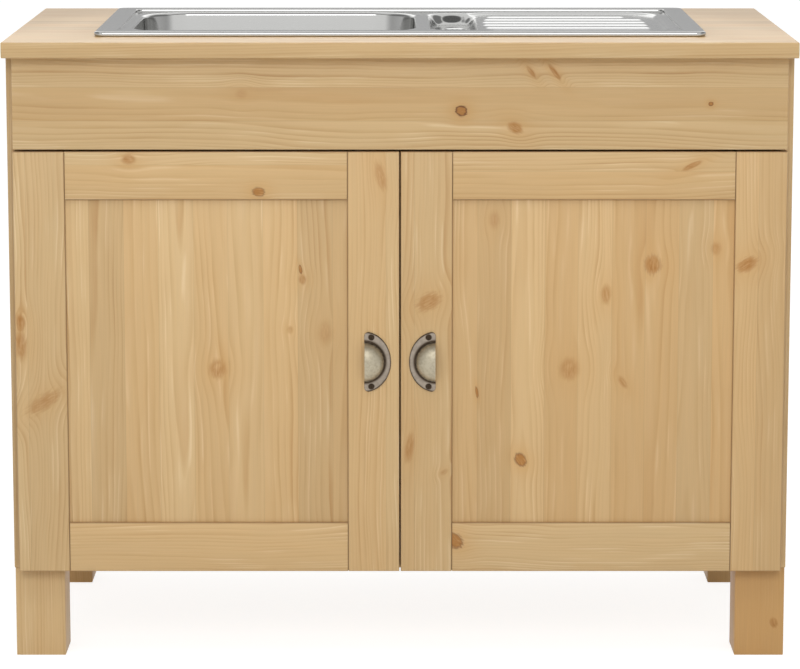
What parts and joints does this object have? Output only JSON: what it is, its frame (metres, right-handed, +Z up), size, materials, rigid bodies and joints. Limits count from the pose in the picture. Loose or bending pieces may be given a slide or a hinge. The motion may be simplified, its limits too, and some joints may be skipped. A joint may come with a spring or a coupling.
{
  "type": "sink base cabinet",
  "caption": "Free-standing pine sink base cabinet with an inset steel sink and drainer, fixed apron, framed doors with cup pulls and square legs.",
  "frame": {"origin": "on the floor, under the middle of the worktop", "axes": "+Z up, +X along the width to the right as seen from the front, -Y to the front with the doors"},
  "size_m": [1.1, 0.6, 0.887],
  "materials": {
    "pine": "solid pine, clear oiled",
    "pine_panel": "edge-glued pine staves, clear oiled",
    "steel": "pressed stainless steel, fine satin",
    "antique_metal": "antiqued and burnished casting",
    "nickel": "nickel-plated steel",
    "white_plastic": "moulded polypropylene",
    "seal": "closed-cell foam strip"
  },
  "bodies": {
    "cabinet": {"worktop": "pine", "side_panel_left": "pine", "side_panel_right": "pine", "bottom_panel": "pine", "front_top_rail": "pine", "rear_top_rail": "pine", "back_panel": "pine_panel", "leg_front_left": "pine", "leg_front_right": "pine", "leg_rear_left": "pine", "leg_rear_right": "pine", "front_apron": "pine", "left_hinge_arm_lower": "nickel", "left_hinge_arm_upper": "nickel", "right_hinge_arm_lower": "nickel", "right_hinge_arm_upper": "nickel", "sink_top": "steel", "sink_bowl": "steel", "sink_seal": "seal", "sink_clamp_front_left": "nickel", "sink_clamp_front_right": "nickel", "sink_clamp_rear_left": "nickel", "sink_clamp_rear_right": "nickel", "waste_flange": "steel", "waste_body": "white_plastic", "dish_waste": "white_plastic", "overflow_tube": "white_plastic", "trap_bottle": "white_plastic", "trap_outlet_pipe": "white_plastic"},
    "left_outer_links": {"left_hinge_outer_link_lower": "nickel", "left_hinge_outer_link_upper": "nickel"},
    "left_inner_links": {"left_hinge_inner_link_lower": "nickel", "left_hinge_inner_link_upper": "nickel"},
    "left_door": {"left_door_hinge_stile": "pine", "left_door_pull_stile": "pine", "left_door_bottom_rail": "pine", "left_door_top_rail": "pine", "left_door_panel": "pine_panel", "left_pull": "antique_metal", "left_pull_screw_lower": "antique_metal", "left_pull_screw_upper": "antique_metal", "left_hinge_cup_lower": "nickel", "left_hinge_cup_upper": "nickel"},
    "right_outer_links": {"right_hinge_outer_link_lower": "nickel", "right_hinge_outer_link_upper": "nickel"},
    "right_inner_links": {"right_hinge_inner_link_lower": "nickel", "right_hinge_inner_link_upper": "nickel"},
    "right_door": {"right_door_hinge_stile": "pine", "right_door_pull_stile": "pine", "right_door_bottom_rail": "pine", "right_door_top_rail": "pine", "right_door_panel": "pine_panel", "right_pull": "antique_metal", "right_pull_screw_lower": "antique_metal", "right_pull_screw_upper": "antique_metal", "right_hinge_cup_lower": "nickel", "right_hinge_cup_upper": "nickel"},
    "strainer": {"strainer_basket": "steel"}
  },
  "joints": [
    {"name": "left_outer_link_swing", "type": "hinge", "parent": "cabinet", "child": "left_outer_links", "pos_m": [-0.5034, -0.2583, 0.4275], "axis": [0, 0, -1], "range_deg": [-30.1, 0]},
    {"name": "left_inner_link_swing", "type": "hinge", "parent": "cabinet", "child": "left_inner_links", "pos_m": [-0.5038, -0.267, 0.4275], "axis": [0, 0, -1], "range_deg": [-55.1, 0]},
    {"name": "left_door_swing", "type": "hinge", "parent": "left_outer_links", "child": "left_door", "pos_m": [-0.5285, -0.2664, 0.4275], "axis": [0, 0, -1], "range_deg": [0, 130]},
    {"name": "right_outer_link_swing", "type": "hinge", "parent": "cabinet", "child": "right_outer_links", "pos_m": [0.5034, -0.2583, 0.4275], "axis": [0, 0, 1], "range_deg": [-30.1, 0]},
    {"name": "right_inner_link_swing", "type": "hinge", "parent": "cabinet", "child": "right_inner_links", "pos_m": [0.5038, -0.267, 0.4275], "axis": [0, 0, 1], "range_deg": [-55.1, 0]},
    {"name": "right_door_swing", "type": "hinge", "parent": "right_outer_links", "child": "right_door", "pos_m": [0.5285, -0.2664, 0.4275], "axis": [0, 0, 1], "range_deg": [0, 130]},
    {"name": "strainer_lift", "type": "slide", "parent": "cabinet", "child": "strainer", "axis": [0, 0, 1], "range_m": [0, 0.2]}
  ],
  "couplings": [
    {"joint": "left_outer_link_swing", "follows": "left_door_swing", "ratio": -0.23077},
    {"joint": "left_inner_link_swing", "follows": "left_door_swing", "ratio": -0.42308},
    {"joint": "right_outer_link_swing", "follows": "right_door_swing", "ratio": -0.23077},
    {"joint": "right_inner_link_swing", "follows": "right_door_swing", "ratio": -0.42308}
  ]
}
